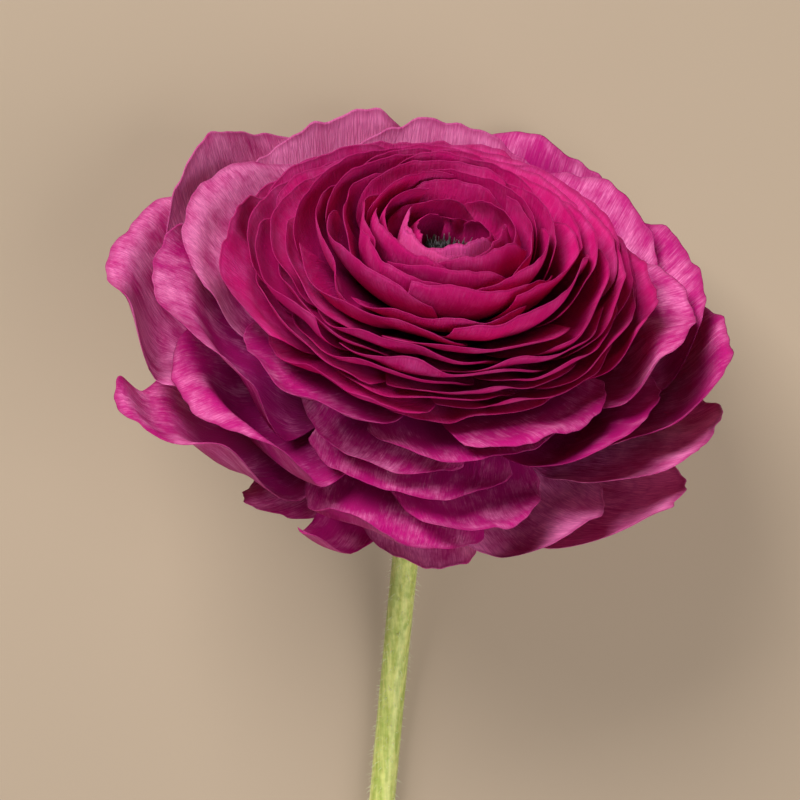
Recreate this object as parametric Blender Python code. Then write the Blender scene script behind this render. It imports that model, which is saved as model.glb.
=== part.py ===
"""Persian buttercup flower (Ranunculus asiaticus): a double bloom on a cut stem, laid down.

The flower lies with its stem along -Y. The stem bends up to the bloom, which leans back on its
rearmost petals and faces up and towards +Y. Every petal is a curved sheet that starts on the
receptacle. It is described around the middle of the receptacle: at each distance from there, by the
angle that it makes with the bloom's axis. The petals are laid from the eye outwards along the golden
angle, and each one is draped over those inside it, so no two of them cross.

Lengths are in millimetres and angles in degrees, and MM and radians() turn them into Blender's units.
"""

from math import cos, pi, radians, sin, sqrt

import bpy
import numpy as np
from mathutils import Matrix

MM = 0.001

# The pose: where the middle of the receptacle is, and which way the bloom faces.
HEAD_AT = np.array([2.88, 57.48, 35.77])
FACE_TILT = 51.0  # between the bloom's axis and straight up
FACE_TURN = 9.5  # how far the axis turns from +Y towards +X

# The receptacle and the stem.
RECEPTACLE_RADIUS = 6.0
STEM_RADIUS = 2.2
STEM_LENGTH_ALONG = 150.0  # from the receptacle to the cut, along the surface
NECK_AT = 5.0  # below the receptacle's middle
NECK_RADIUS = 2.6
NECK_BELOW = 7.5  # where the stem has its own radius
STEM_STRAIGHT = 9.0  # how far it goes on straight behind the bloom before it bends down to the surface
STEM_LEAN = 0.09  # how far the laid stem strays to the left for each millimetre along
STEM_SWING = 1.65  # how much further it swings to the left near the bloom
STEM_SWING_OVER = 22.0

# The petals.
PETAL_THICKNESS = 0.3
CROWDED_PETALS = 72
EVERY = 3  # one crowded petal in this many is a solid of its own
GOLDEN_ANGLE = 137.508
FIRST_AZIMUTH = 20.0
CLAW_HALF_WIDTH = 1.9
REACH = 60.0  # beyond the longest petal
EYE_SHIFT = 1.7  # how far back from the axis the opening around the eye lies
FRONT_TUCK = 0.29  # how much closer in the dense part's edge lies at the front, as a share of its radius
RIGHT_TUCK = 0.07  # and at the right
FRONT_RISE = 2.0  # how much higher its rims stand at the front
ROOT_RELIEF = 0.32  # how much less room solid petals keep near their roots

# The innermost petals behind the eye close over it: how much less their rims' radius and height are,
# and how much further in they lean.
CLOSE_RADIUS = 3.6
CLOSE_HEIGHT = 1.8
CLOSE_LEAN = 28

# The crowded petals, from the eye (share 0) to the edge of the dense part (share 1):
# share, rim radius, rim height, lean of the rim from the axis, half width, angle of the root
CROWDED_STATIONS = np.array([
    (0.00, 6.6, 17.4, -30, 9.0, 42),
    (0.06, 7.6, 18.2, -28, 10.0, 44),
    (0.14, 10.2, 19.2, -20, 12.0, 47),
    (0.25, 14.5, 19.5, -10, 15.0, 51),
    (0.36, 19.0, 18.6, 4, 18.0, 56),
    (0.48, 24.0, 16.2, 16, 20.0, 61),
    (0.62, 28.5, 13.6, 26, 21.0, 66),
    (0.76, 32.0, 11.0, 34, 22.0, 71),
    (0.90, 35.0, 9.2, 40, 22.5, 76),
    (1.00, 37.5, 8.0, 47, 22.5, 80),
])

# The loose outer petals, inner ones first:
# azimuth, rim radius, rim height, lean, half width, root angle, corner drop, squareness, tip offset
LOOSE_PETALS = [
    (95, 41.0, 10.0, 54, 26, 82, 0.18, 2.4, 0.0),
    (314, 33.0, 2.4, 76, 18, 86, 0.16, 3.0, -0.1),
    (226, 34.5, 3.0, 72, 20, 84, 0.20, 2.6, 0.0),
    (8, 41.0, 4.8, 63, 22, 83, 0.18, 2.4, 0.0),
    (158, 43.5, 8.5, 56, 27, 83, 0.16, 2.4, 0.0),
    (290, 31.5, -1.5, 90, 22, 86, 0.18, 2.8, 0.0),
    (55, 42.5, 8.5, 58, 26, 84, 0.18, 2.4, 0.0),
    (254, 31.5, -3.0, 92, 19, 87, 0.20, 2.4, 0.1),
    (122, 45.0, 9.2, 60, 24, 86, 0.16, 2.4, 0.0),
    (338, 38.5, -0.5, 80, 23, 88, 0.20, 2.6, 0.0),
    (268, 33.5, -5.0, 96, 24, 88, 0.16, 2.6, 0.0),
    (188, 46.0, 2.5, 72, 26, 86, 0.16, 2.6, 0.0),
    (212, 43.5, -5.0, 90, 24, 86, 0.20, 2.6, 0.0),
    (32, 46.0, 5.0, 66, 26, 88, 0.18, 2.4, 0.0),
    (147, 49.5, 8.0, 62, 27, 88, 0.16, 2.4, 0.0),
    (290, 38.5, -9.5, 102, 15, 89, 0.24, 2.4, 0.0),
    (70, 47.8, 7.4, 62, 25, 90, 0.16, 2.4, 0.0),
    (7, 48.0, -0.5, 78, 22, 90, 0.20, 2.6, 0.0),
    (173, 53.5, 0.5, 80, 25, 91, 0.16, 2.6, 0.0),
    (101, 46.5, 9.0, 64, 24, 91, 0.18, 2.4, 0.0),
    (265, 41.0, -8.0, 102, 21, 90, 0.20, 2.6, 0.1),
    (352, 48.0, -6.5, 90, 20, 93, 0.20, 2.4, 0.0),
    (312, 41.0, -11.5, 106, 19, 92, 0.22, 2.4, 0.0),
    (211, 53.5, -10.5, 100, 17, 90, 0.34, 1.6, -0.2),
    (336, 47.0, -11.5, 106, 19, 94, 0.24, 2.4, 0.0),
    (280, 39.6, -11.2, 108, 19, 94, 0.24, 2.4, 0.0),
    (250, 44.2, -9.6, 101, 17, 92, 0.58, 1.35, 0.0),
    (222, 42.0, -7.5, 98, 13, 93, 0.26, 2.2, 0.0),
]

PETAL_SEAT = 0.4  # how far off the receptacle a petal's root is

# The five sepals under them.
SEPAL_THICKNESS = 0.5
SEPAL_SEAT = 0.5
SEPAL_AZIMUTHS = (20, 90, 160, 240, 316)
SEPAL = (15.5, -12.0, 118, 4.6, 111, 0.45, 1.7, 0.0)

# The rearmost petals give way where they meet the surface: below SOFT_FROM under the receptacle, a
# height is squeezed over SOFT_DEPTH.
SOFT_FROM = 28.0
SOFT_DEPTH = 14.0

# The grid on which petals are draped: steps around and steps outwards.
AROUND = 180
OUTWARDS = 96
AZIMUTHS = np.arange(AROUND) * 2 * pi / AROUND
DISTANCES = np.linspace(RECEPTACLE_RADIUS, REACH, OUTWARDS)


def ease(x, low, high):
    """0 below low, 1 above high, smooth between."""
    t = np.clip((x - low) / (high - low), 0, 1)
    return t * t * (3 - 2 * t)


def polar(radius, angle):
    """(radius from the axis, height) of a point at this distance and angle from the axis."""
    return radius * np.array([sin(angle), cos(angle)])


class Petal:
    """A curved sheet from the receptacle to a rounded rim, as an angle from the axis at each distance."""

    def __init__(self, azimuth, rim_radius, rim_height, lean, half_width, root, drop, square, tip, rng):
        self.azimuth = radians(azimuth)
        self.half_width = half_width
        self.drop = drop
        self.square = square
        self.tip = tip
        self.cup = rng.uniform(-0.02, 0.05)
        self.skew = rng.uniform(-0.05, 0.05)
        self.wave = rng.uniform(0.4, 1.1)
        self.phase = rng.uniform(0, 2 * pi)
        self.roll = rng.uniform(-0.02, 0.06)
        self.widest = radians(52)
        self.clearance = 1.04
        self.stiffness = 6
        self.crowded = False
        self.solid = True
        self.push = np.zeros((AROUND, OUTWARDS))
        self.set_midline(polar(RECEPTACLE_RADIUS, radians(root)), radians(root + 4),
                         np.array([rim_radius, rim_height]), radians(lean))

    def set_midline(self, start, start_angle, end, end_angle, samples=200):
        """A cubic curve that leaves the receptacle at one angle and reaches the rim at another."""
        chord = np.linalg.norm(end - start)
        first = start + polar(chord * 0.42, start_angle)
        second = end - polar(chord * 0.38, end_angle)
        s = np.linspace(0, 1, samples)[:, None]
        curve = ((1 - s) ** 3 * start + 3 * (1 - s) ** 2 * s * first
                 + 3 * (1 - s) * s * s * second + s ** 3 * end)
        grow = np.arange(samples) * 1e-6
        self.distances = np.maximum.accumulate(np.linalg.norm(curve, axis=1) + grow)
        self.angles = np.arctan2(curve[:, 0], curve[:, 1])
        self.length = self.distances[-1] - RECEPTACLE_RADIUS

    def midline(self, distance):
        """The angle from the axis along the middle of the petal, carried on past its rim."""
        run = self.distances[-1] - self.distances[-12]
        slope = (self.angles[-1] - self.angles[-12]) / max(run, 0.001)
        past = np.maximum(distance - self.distances[-1], 0)
        return np.interp(distance, self.distances, self.angles) + past * slope

    def half_angle(self, distance):
        """Half the petal's width as an angle around the axis."""
        share = (distance - RECEPTACLE_RADIUS) / self.length
        width = CLAW_HALF_WIDTH + (self.half_width - CLAW_HALF_WIDTH) * ease(share, -0.08, 0.72)
        radius = np.maximum(distance * np.sin(self.midline(distance)), 3.0)
        return self.widest * np.tanh(width / radius / self.widest)

    def rim(self, across):
        """How far out the petal reaches at each place across it, from -1 to 1."""
        off = np.abs(across - self.tip) / (1 + 0.7 * abs(self.tip))
        wave = np.sin(3.1 * across + self.phase) + 0.6 * np.sin(7.3 * across + 2 * self.phase)
        return RECEPTACLE_RADIUS + self.length * (1 - self.drop * off ** self.square + 0.012 * self.wave * wave)

    def bend(self, across, distance):
        """What the petal's cup, skew, waves and rolled rim add to the angle of its midline."""
        share = np.clip((distance - RECEPTACLE_RADIUS) / self.length, 0, 1.2)
        cup = -3 * self.cup * across ** 2 * share ** 1.5
        wave = 0.020 * np.sin(4.2 * across + self.phase) * ease(share, 0.35, 1.0)
        ripple = 0.011 * np.sin(9.5 * across + 1.7 * self.phase) * ease(share, 0.7, 1.0)
        roll = 1.2 * self.roll * ease(share, 0.7, 1.05)
        return cup + self.skew * across * share + self.wave * (wave + ripple) + roll

    def pushed(self, azimuth, distance):
        """The push at any place, read between the points of the grid."""
        turn = (azimuth % (2 * pi)) / (2 * pi) * AROUND
        out = np.clip((distance - DISTANCES[0]) / (DISTANCES[1] - DISTANCES[0]), 0, OUTWARDS - 1.001)
        a, b = np.floor(turn).astype(int) % AROUND, np.floor(out).astype(int)
        p, q = turn - np.floor(turn), out - b
        near = self.push[a, b] * (1 - q) + self.push[a, b + 1] * q
        far = self.push[(a + 1) % AROUND, b] * (1 - q) + self.push[(a + 1) % AROUND, b + 1] * q
        return near * (1 - p) + far * p

    def points(self, columns, rows, seat):
        """Points of the sheet in the bloom's own frame, from the seat off the receptacle to the rim."""
        across = np.linspace(-1, 1, columns)[:, None]
        along = np.linspace(0, 1, rows)[None, :] ** 0.9
        start = RECEPTACLE_RADIUS + seat
        distance = start + (self.rim(across) - start) * along
        azimuth = self.azimuth + across * self.half_angle(distance)
        angle = self.midline(distance) + self.bend(across, distance) + self.pushed(azimuth, distance)
        flat = distance * np.sin(angle)
        return np.stack([flat * np.cos(azimuth), flat * np.sin(azimuth), distance * np.cos(angle)], -1)


def crowded_petals(rng):
    """The petals of the dense part, each a golden angle on from the one inside it."""
    made = []
    for k in range(CROWDED_PETALS):
        share = k / (CROWDED_PETALS - 1)
        radius, height, lean, half, root = (np.interp(share, CROWDED_STATIONS[:, 0], CROWDED_STATIONS[:, c])
                                            for c in range(1, 6))
        azimuth = FIRST_AZIMUTH + k * GOLDEN_ANGLE
        outer = ease(share, 0.45, 1.0)
        inner = 1 - ease(share, 0.05, 0.35)
        back = sin(radians(azimuth))
        radius *= 1 - outer * (FRONT_TUCK * max(-back, 0) + RIGHT_TUCK * max(cos(radians(azimuth)), 0))
        radius *= 1 + rng.uniform(-0.03, 0.03)
        radius += EYE_SHIFT * inner * back
        closing = (1 - ease(share, 0.04, 0.14)) * max(back, 0)
        radius -= CLOSE_RADIUS * closing
        height += 0.5 * EYE_SHIFT * inner * -back + rng.uniform(-0.6, 0.6) * (0.6 + share)
        height += FRONT_RISE * outer * max(-back, 0) - CLOSE_HEIGHT * closing
        lean += -5 * outer * back - CLOSE_LEAN * closing + rng.uniform(-6, 6)
        half *= 1 + rng.uniform(-0.1, 0.1)
        petal = Petal(azimuth, radius, height, lean, half, root, rng.uniform(0.09, 0.22),
                      rng.uniform(2.4, 4.4), rng.uniform(-0.3, 0.3), rng)
        petal.widest = radians(82 - 30 * share)
        petal.crowded = k < CROWDED_PETALS - 8
        petal.solid = k % EVERY == 0
        petal.stiffness = 3
        petal.clearance = 0.88
        made.append(petal)
    return made


def clearance_of(petal):
    """The distance that a petal keeps from those inside it: less near its root, and less in the dense part."""
    if petal.crowded:
        return 0.20 + 0.28 * ease(DISTANCES, 7, 22)
    return solid_clearance_of(petal)


def solid_clearance_of(petal):
    """The distance that a solid petal keeps from the solid ones inside it."""
    return petal.clearance - ROOT_RELIEF * (1 - ease(DISTANCES, 7, 18))


def spread(field, steps):
    """Each place takes the largest value within so many steps of it."""
    for _ in range(steps):
        field = np.maximum(field, np.maximum(np.roll(field, 1, 0), np.roll(field, -1, 0)))
        wide = np.pad(field, ((0, 0), (1, 1)), mode="edge")
        field = np.maximum(field, np.maximum(wide[:, 2:], wide[:, :-2]))
    return field


def soften(field, steps):
    """Each place takes the mean of its neighbourhood."""
    for _ in range(steps):
        field = (np.roll(field, 1, 0) + 2 * field + np.roll(field, -1, 0)) / 4
        wide = np.pad(field, ((0, 0), (1, 1)), mode="edge")
        field = (wide[:, 2:] + 2 * field + wide[:, :-2]) / 4
    return field


def drape(sheets):
    """Push each sheet outwards until it clears all that lie inside it, and a solid one every other solid."""
    covered = np.full((AROUND, OUTWARDS), -9.0)
    solids = covered.copy()
    for sheet in sheets:
        middle = sheet.midline(DISTANCES)
        slope = np.gradient(middle, DISTANCES) * DISTANCES
        lean = np.minimum(np.sqrt(1 + slope ** 2), 2.5) / DISTANCES
        turned = (AZIMUTHS[:, None] - sheet.azimuth + pi) % (2 * pi) - pi
        across = turned / sheet.half_angle(DISTANCES)[None, :]
        inside = (np.abs(across) <= 1.10) & (DISTANCES <= sheet.rim(np.clip(across, -1, 1)) + 1.0)
        wanted = middle + sheet.bend(np.clip(across, -1.3, 1.3), DISTANCES[None, :])
        floor = covered + clearance_of(sheet) * lean
        if sheet.solid:
            floor = np.maximum(floor, solids + solid_clearance_of(sheet) * lean)
        short = np.where(inside, np.maximum(floor - wanted, 0), 0)
        sheet.push = soften(spread(short, sheet.stiffness), sheet.stiffness)
        lies = wanted + sheet.push
        covered = np.where(inside, np.maximum(covered, lies), covered)
        if sheet.solid:
            solids = np.where(inside, np.maximum(solids, lies), solids)


def bloom_axes():
    """The bloom's right, back and facing directions in the part's frame, as the columns of a matrix."""
    tilt, turn = radians(FACE_TILT), radians(FACE_TURN)
    facing = np.array([sin(tilt) * sin(turn), sin(tilt) * cos(turn), cos(tilt)])
    right = np.array([cos(turn), -sin(turn), 0.0])
    return np.stack([right, np.cross(facing, right), facing], axis=1)


def rest_on_surface(points):
    """Squeeze what hangs lowest, as petals do that carry the bloom, and keep the rest."""
    axes = bloom_axes()
    placed = points @ axes.T
    over = np.maximum(-SOFT_FROM - placed[..., 2], 0)
    placed[..., 2] += over - SOFT_DEPTH * (1 - np.exp(-over / SOFT_DEPTH))
    return placed @ axes


def material(name, colour, roughness):
    made = bpy.data.materials.new(name)
    made.use_nodes = True
    shader = made.node_tree.nodes["Principled BSDF"]
    shader.inputs["Base Color"].default_value = (*colour, 1.0)
    shader.inputs["Roughness"].default_value = roughness
    shader.inputs["Metallic"].default_value = 0.0
    return made


def new_object(name, points, faces, skin, parent=None):
    """A smooth mesh object, from points in millimetres."""
    mesh = bpy.data.meshes.new(name)
    mesh.from_pydata((np.asarray(points) * MM).tolist(), [], faces)
    mesh.materials.append(skin)
    mesh.shade_smooth()
    made = bpy.data.objects.new(name, mesh)
    made.parent = parent
    bpy.context.scene.collection.objects.link(made)
    return made


def sheet_object(name, points, thickness, skin, parent):
    """A sheet through a grid of points, with a Solidify for its thickness."""
    columns, rows, _ = points.shape
    number = np.arange(columns * rows).reshape(columns, rows)
    corners = [number[:-1, :-1], number[1:, :-1], number[1:, 1:], number[:-1, 1:]]
    faces = np.stack(corners, -1).reshape(-1, 4).tolist()
    made = new_object(name, points.reshape(-1, 3), faces, skin, parent)
    solid = made.modifiers.new("thickness", "SOLIDIFY")
    solid.thickness = thickness * MM
    solid.offset = 0
    return made


def rings_object(name, rings, skin, parent=None):
    """A closed body through rings of points, with one face over each end."""
    sides = len(rings[0])
    number = np.arange(len(rings) * sides).reshape(len(rings), sides)
    after = np.roll(number, -1, axis=1)
    corners = [number[:-1], after[:-1], after[1:], number[1:]]
    faces = np.stack(corners, -1).reshape(-1, 4).tolist()
    faces.append(number[0][::-1].tolist())
    faces.append(number[-1].tolist())
    return new_object(name, np.concatenate(rings), faces, skin, parent)


def turned_object(name, outline, sides, skin, parent):
    """A closed body turned around the bloom's axis from (radius, height) pairs, bottom first."""
    around = np.arange(sides) * 2 * pi / sides
    rings = [np.stack([r * np.cos(around), r * np.sin(around), 0 * around + z], -1) for r, z in outline]
    return rings_object(name, rings, skin, parent)


def ring_object(name, outline, sides, skin, parent):
    """A hollow crown: a closed outline of (radius, height) pairs carried around the bloom's axis."""
    around = np.arange(sides) * 2 * pi / sides
    points = np.array([[(r * cos(a), r * sin(a), z) for r, z in outline] for a in around])
    number = np.arange(sides * len(outline)).reshape(sides, len(outline))
    after = np.roll(number, -1, axis=0)
    corners = [number, after, np.roll(after, -1, axis=1), np.roll(number, -1, axis=1)]
    faces = np.stack(corners, -1).reshape(-1, 4).tolist()
    return new_object(name, points.reshape(-1, 3), faces, skin, parent)


def stem_centre(along):
    """The stem's centre line in the part's frame, at this distance from the receptacle along -Y."""
    axes = bloom_axes()
    slope = axes[2, 2] / axes[1, 2]
    drop = HEAD_AT[2] - STEM_RADIUS - slope * STEM_STRAIGHT
    curve = 2 * drop / slope
    past = np.clip(along - STEM_STRAIGHT, 0, curve)
    height = HEAD_AT[2] - slope * np.minimum(along, STEM_STRAIGHT) - slope * (past - past ** 2 / (2 * curve))
    sideways = STEM_LEAN * along + STEM_SWING * (1 - np.exp(-along / STEM_SWING_OVER))
    return np.stack([HEAD_AT[0] - sideways, HEAD_AT[1] - along, height], -1)


def stem_rings(sides=12):
    """The receptacle's round body, its neck, and the stem down to the cut."""
    facing = bloom_axes()[:, 2]
    heights = RECEPTACLE_RADIUS * np.cos(np.radians((8, 32, 56, 80, 104, 124)))
    middles = [HEAD_AT + facing * h for h in heights]
    radii = [sqrt(RECEPTACLE_RADIUS ** 2 - h ** 2) for h in heights]
    middles.append(HEAD_AT - facing * NECK_AT)
    radii.append(NECK_RADIUS)
    along = NECK_BELOW * facing[1] + (STEM_LENGTH_ALONG - NECK_BELOW * facing[1]) * np.linspace(0, 1, 24) ** 1.1
    middles += list(stem_centre(along))
    radii += [STEM_RADIUS * 1.1] + [STEM_RADIUS] * (len(along) - 1)
    middles, radii = np.array(middles), np.array(radii)
    ahead = np.gradient(middles, axis=0)
    ahead /= np.linalg.norm(ahead, axis=1)[:, None]
    ahead[:7] = -facing
    right = np.cross(ahead, [0, 0, 1.0])
    right /= np.linalg.norm(right, axis=1)[:, None]
    up = np.cross(ahead, right)
    around = np.arange(sides) * 2 * pi / sides
    return [m + r * (np.cos(around)[:, None] * x + np.sin(around)[:, None] * y)
            for m, r, x, y in zip(middles, radii, right, up)]


def clear_scene():
    for old in list(bpy.data.objects):
        bpy.data.objects.remove(old, do_unlink=True)


def bloom_parent():
    """The empty that holds everything of the bloom: its +Z is the way that the bloom faces."""
    holder = bpy.data.objects.new("bloom", None)
    turn = Matrix(bloom_axes().tolist()).to_4x4()
    holder.matrix_world = Matrix.Translation((HEAD_AT * MM).tolist()) @ turn
    bpy.context.scene.collection.objects.link(holder)
    return holder


def build_petals(parent):
    rng = np.random.default_rng(7)
    crowded = crowded_petals(rng)
    loose = [Petal(*row, rng) for row in LOOSE_PETALS]
    sepals = [Petal(azimuth, *SEPAL, rng) for azimuth in SEPAL_AZIMUTHS]
    for sepal in sepals:
        sepal.clearance = 0.86
    drape(crowded + loose + sepals)
    heart = material("petal_heart", (0.42, 0.014, 0.105), 0.6)
    blush = material("petal_outer", (0.48, 0.045, 0.21), 0.6)
    green = material("sepal", (0.16, 0.22, 0.05), 0.7)
    for k in range(0, CROWDED_PETALS, EVERY):
        points = rest_on_surface(crowded[k].points(9, 7, PETAL_SEAT))
        sheet_object(f"petal_{k:02d}", points, PETAL_THICKNESS, heart, parent)
    for k, petal in enumerate(loose, CROWDED_PETALS):
        points = rest_on_surface(petal.points(9, 7, PETAL_SEAT))
        sheet_object(f"petal_{k:02d}", points, PETAL_THICKNESS, blush, parent)
    for k, sepal in enumerate(sepals):
        points = rest_on_surface(sepal.points(5, 6, SEPAL_SEAT))
        sheet_object(f"sepal_{k}", points, SEPAL_THICKNESS, green, parent)


def build_eye(parent):
    dark = material("carpels", (0.012, 0.010, 0.012), 0.7)
    dust = material("stamens", (0.035, 0.022, 0.028), 0.8)
    dome = [(2.8, 6.7), (4.2, 8.6), (4.7, 10.4), (4.4, 12.2), (3.2, 13.4), (1.0, 14.0)]
    turned_object("carpel_cone", dome, 12, dark, parent)
    crown = [(3.4, 5.8), (5.1, 9.0), (5.5, 12.8), (6.1, 12.6), (5.8, 8.8), (4.0, 5.4)]
    ring_object("stamens", crown[::-1], 14, dust, parent)


def build_stem():
    leaf_green = material("stem", (0.36, 0.42, 0.10), 0.55)
    rings_object("stem", stem_rings(), leaf_green)


def main():
    clear_scene()
    bloom = bloom_parent()
    build_petals(bloom)
    build_eye(bloom)
    build_stem()


main()
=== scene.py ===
"""Looks of the Persian buttercup flower: fine petals, eye, sepals and stem, light and camera.

The petals come from the same description as the CAD part's, on a finer grid and all hundred of them.
Lengths are in millimetres and angles in degrees, and MM and radians() turn them into Blender's units.
"""

from math import cos, pi, radians, sin, sqrt

import bpy
import numpy as np
from mathutils import Matrix, Vector


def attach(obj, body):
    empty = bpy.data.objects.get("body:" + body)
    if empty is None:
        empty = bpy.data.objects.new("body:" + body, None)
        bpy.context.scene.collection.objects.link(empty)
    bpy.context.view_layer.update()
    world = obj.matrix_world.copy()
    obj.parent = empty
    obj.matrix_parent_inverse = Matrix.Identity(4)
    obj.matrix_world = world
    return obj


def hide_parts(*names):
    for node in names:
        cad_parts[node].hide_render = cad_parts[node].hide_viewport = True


MM = 0.001

# The pose: where the middle of the receptacle is, and which way the bloom faces.
HEAD_AT = np.array([2.88, 57.48, 35.77])
FACE_TILT = 51.0  # between the bloom's axis and straight up
FACE_TURN = 9.5  # how far the axis turns from +Y towards +X

# The receptacle and the stem.
RECEPTACLE_RADIUS = 6.0
STEM_RADIUS = 2.2
STEM_LENGTH_ALONG = 150.0  # from the receptacle to the cut, along the surface
NECK_AT = 5.0  # below the receptacle's middle
NECK_RADIUS = 2.6
NECK_BELOW = 7.5  # where the stem has its own radius
STEM_STRAIGHT = 9.0  # how far it goes on straight behind the bloom before it bends down to the surface
STEM_LEAN = 0.09  # how far the laid stem strays to the left for each millimetre along
STEM_SWING = 1.65  # how much further it swings to the left near the bloom
STEM_SWING_OVER = 22.0

# The petals.
CROWDED_PETALS = 72
EVERY = 3  # one crowded petal in this many is a solid of its own
GOLDEN_ANGLE = 137.508
FIRST_AZIMUTH = 20.0
CLAW_HALF_WIDTH = 1.9
REACH = 60.0  # beyond the longest petal
EYE_SHIFT = 1.7  # how far back from the axis the opening around the eye lies
FRONT_TUCK = 0.29  # how much closer in the dense part's edge lies at the front, as a share of its radius
RIGHT_TUCK = 0.07  # and at the right
FRONT_RISE = 2.0  # how much higher its rims stand at the front
ROOT_RELIEF = 0.32  # how much less room solid petals keep near their roots

# The innermost petals behind the eye close over it: how much less their rims' radius and height are,
# and how much further in they lean.
CLOSE_RADIUS = 3.6
CLOSE_HEIGHT = 1.8
CLOSE_LEAN = 28

# How far one crowded petal may differ from the next: as a share of its radius and width, in
# millimetres of height, and in degrees of lean.
VARY_RADIUS = 0.03
VARY_WIDTH = 0.1
VARY_HEIGHT = 0.6
VARY_LEAN = 6
LAST_CROWDED = 8  # so many of the last crowded petals lie as far apart as the loose ones

# The crowded petals, from the eye (share 0) to the edge of the dense part (share 1):
# share, rim radius, rim height, lean of the rim from the axis, half width, angle of the root
CROWDED_STATIONS = np.array([
    (0.00, 6.6, 17.4, -30, 9.0, 42),
    (0.06, 7.6, 18.2, -28, 10.0, 44),
    (0.14, 10.2, 19.2, -20, 12.0, 47),
    (0.25, 14.5, 19.5, -10, 15.0, 51),
    (0.36, 19.0, 18.6, 4, 18.0, 56),
    (0.48, 24.0, 16.2, 16, 20.0, 61),
    (0.62, 28.5, 13.6, 26, 21.0, 66),
    (0.76, 32.0, 11.0, 34, 22.0, 71),
    (0.90, 35.0, 9.2, 40, 22.5, 76),
    (1.00, 37.5, 8.0, 47, 22.5, 80),
])

# The loose outer petals, inner ones first:
# azimuth, rim radius, rim height, lean, half width, root angle, corner drop, squareness, tip offset
LOOSE_PETALS = [
    (95, 41.0, 10.0, 54, 26, 82, 0.18, 2.4, 0.0),
    (314, 33.0, 2.4, 76, 18, 86, 0.16, 3.0, -0.1),
    (226, 34.5, 3.0, 72, 20, 84, 0.20, 2.6, 0.0),
    (8, 41.0, 4.8, 63, 22, 83, 0.18, 2.4, 0.0),
    (158, 43.5, 8.5, 56, 27, 83, 0.16, 2.4, 0.0),
    (290, 31.5, -1.5, 90, 22, 86, 0.18, 2.8, 0.0),
    (55, 42.5, 8.5, 58, 26, 84, 0.18, 2.4, 0.0),
    (254, 31.5, -3.0, 92, 19, 87, 0.20, 2.4, 0.1),
    (122, 45.0, 9.2, 60, 24, 86, 0.16, 2.4, 0.0),
    (338, 38.5, -0.5, 80, 23, 88, 0.20, 2.6, 0.0),
    (268, 33.5, -5.0, 96, 24, 88, 0.16, 2.6, 0.0),
    (188, 46.0, 2.5, 72, 26, 86, 0.16, 2.6, 0.0),
    (212, 43.5, -5.0, 90, 24, 86, 0.20, 2.6, 0.0),
    (32, 46.0, 5.0, 66, 26, 88, 0.18, 2.4, 0.0),
    (147, 49.5, 8.0, 62, 27, 88, 0.16, 2.4, 0.0),
    (290, 38.5, -9.5, 102, 15, 89, 0.24, 2.4, 0.0),
    (70, 47.8, 7.4, 62, 25, 90, 0.16, 2.4, 0.0),
    (7, 48.0, -0.5, 78, 22, 90, 0.20, 2.6, 0.0),
    (173, 53.5, 0.5, 80, 25, 91, 0.16, 2.6, 0.0),
    (101, 46.5, 9.0, 64, 24, 91, 0.18, 2.4, 0.0),
    (265, 41.0, -8.0, 102, 21, 90, 0.20, 2.6, 0.1),
    (352, 48.0, -6.5, 90, 20, 93, 0.20, 2.4, 0.0),
    (312, 41.0, -11.5, 106, 19, 92, 0.22, 2.4, 0.0),
    (211, 53.5, -10.5, 100, 17, 90, 0.34, 1.6, -0.2),
    (336, 47.0, -11.5, 106, 19, 94, 0.24, 2.4, 0.0),
    (280, 39.6, -11.2, 108, 19, 94, 0.24, 2.4, 0.0),
    (250, 44.2, -9.6, 101, 17, 92, 0.58, 1.35, 0.0),
    (222, 42.0, -7.5, 98, 13, 93, 0.26, 2.2, 0.0),
]

# The five sepals under them: one azimuth each, and the rest of a petal's row, which they share.
SEPAL_AZIMUTHS = (20, 90, 160, 240, 316)
SEPAL = (15.5, -12.0, 118, 4.6, 111, 0.45, 1.7, 0.0)

# How far apart the draped sheets lie, in millimetres. Where the CAD part has a solid petal, it keeps
# the room that such solids need; petals between them keep only the fine gap.
CLEARANCE = 1.04
CROWDED_CLEARANCE = 0.88
SEPAL_CLEARANCE = 0.86
FINE_GAP = 0.20
FINE_GAP_GROWTH = 0.28  # how much wider the fine gap is away from the roots

# The rearmost petals give way where they meet the surface: below SOFT_FROM under the receptacle, a
# height is squeezed over SOFT_DEPTH.
SOFT_FROM = 28.0
SOFT_DEPTH = 14.0

# The grid on which petals are draped: steps around and steps outwards.
AROUND = 180
OUTWARDS = 96
AZIMUTHS = np.arange(AROUND) * 2 * pi / AROUND
DISTANCES = np.linspace(RECEPTACLE_RADIUS, REACH, OUTWARDS)


def ease(x, low, high):
    """0 below low, 1 above high, smooth between."""
    t = np.clip((x - low) / (high - low), 0, 1)
    return t * t * (3 - 2 * t)


def polar(radius, angle):
    """(radius from the axis, height) of a point at this distance and angle from the axis."""
    return radius * np.array([sin(angle), cos(angle)])


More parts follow.
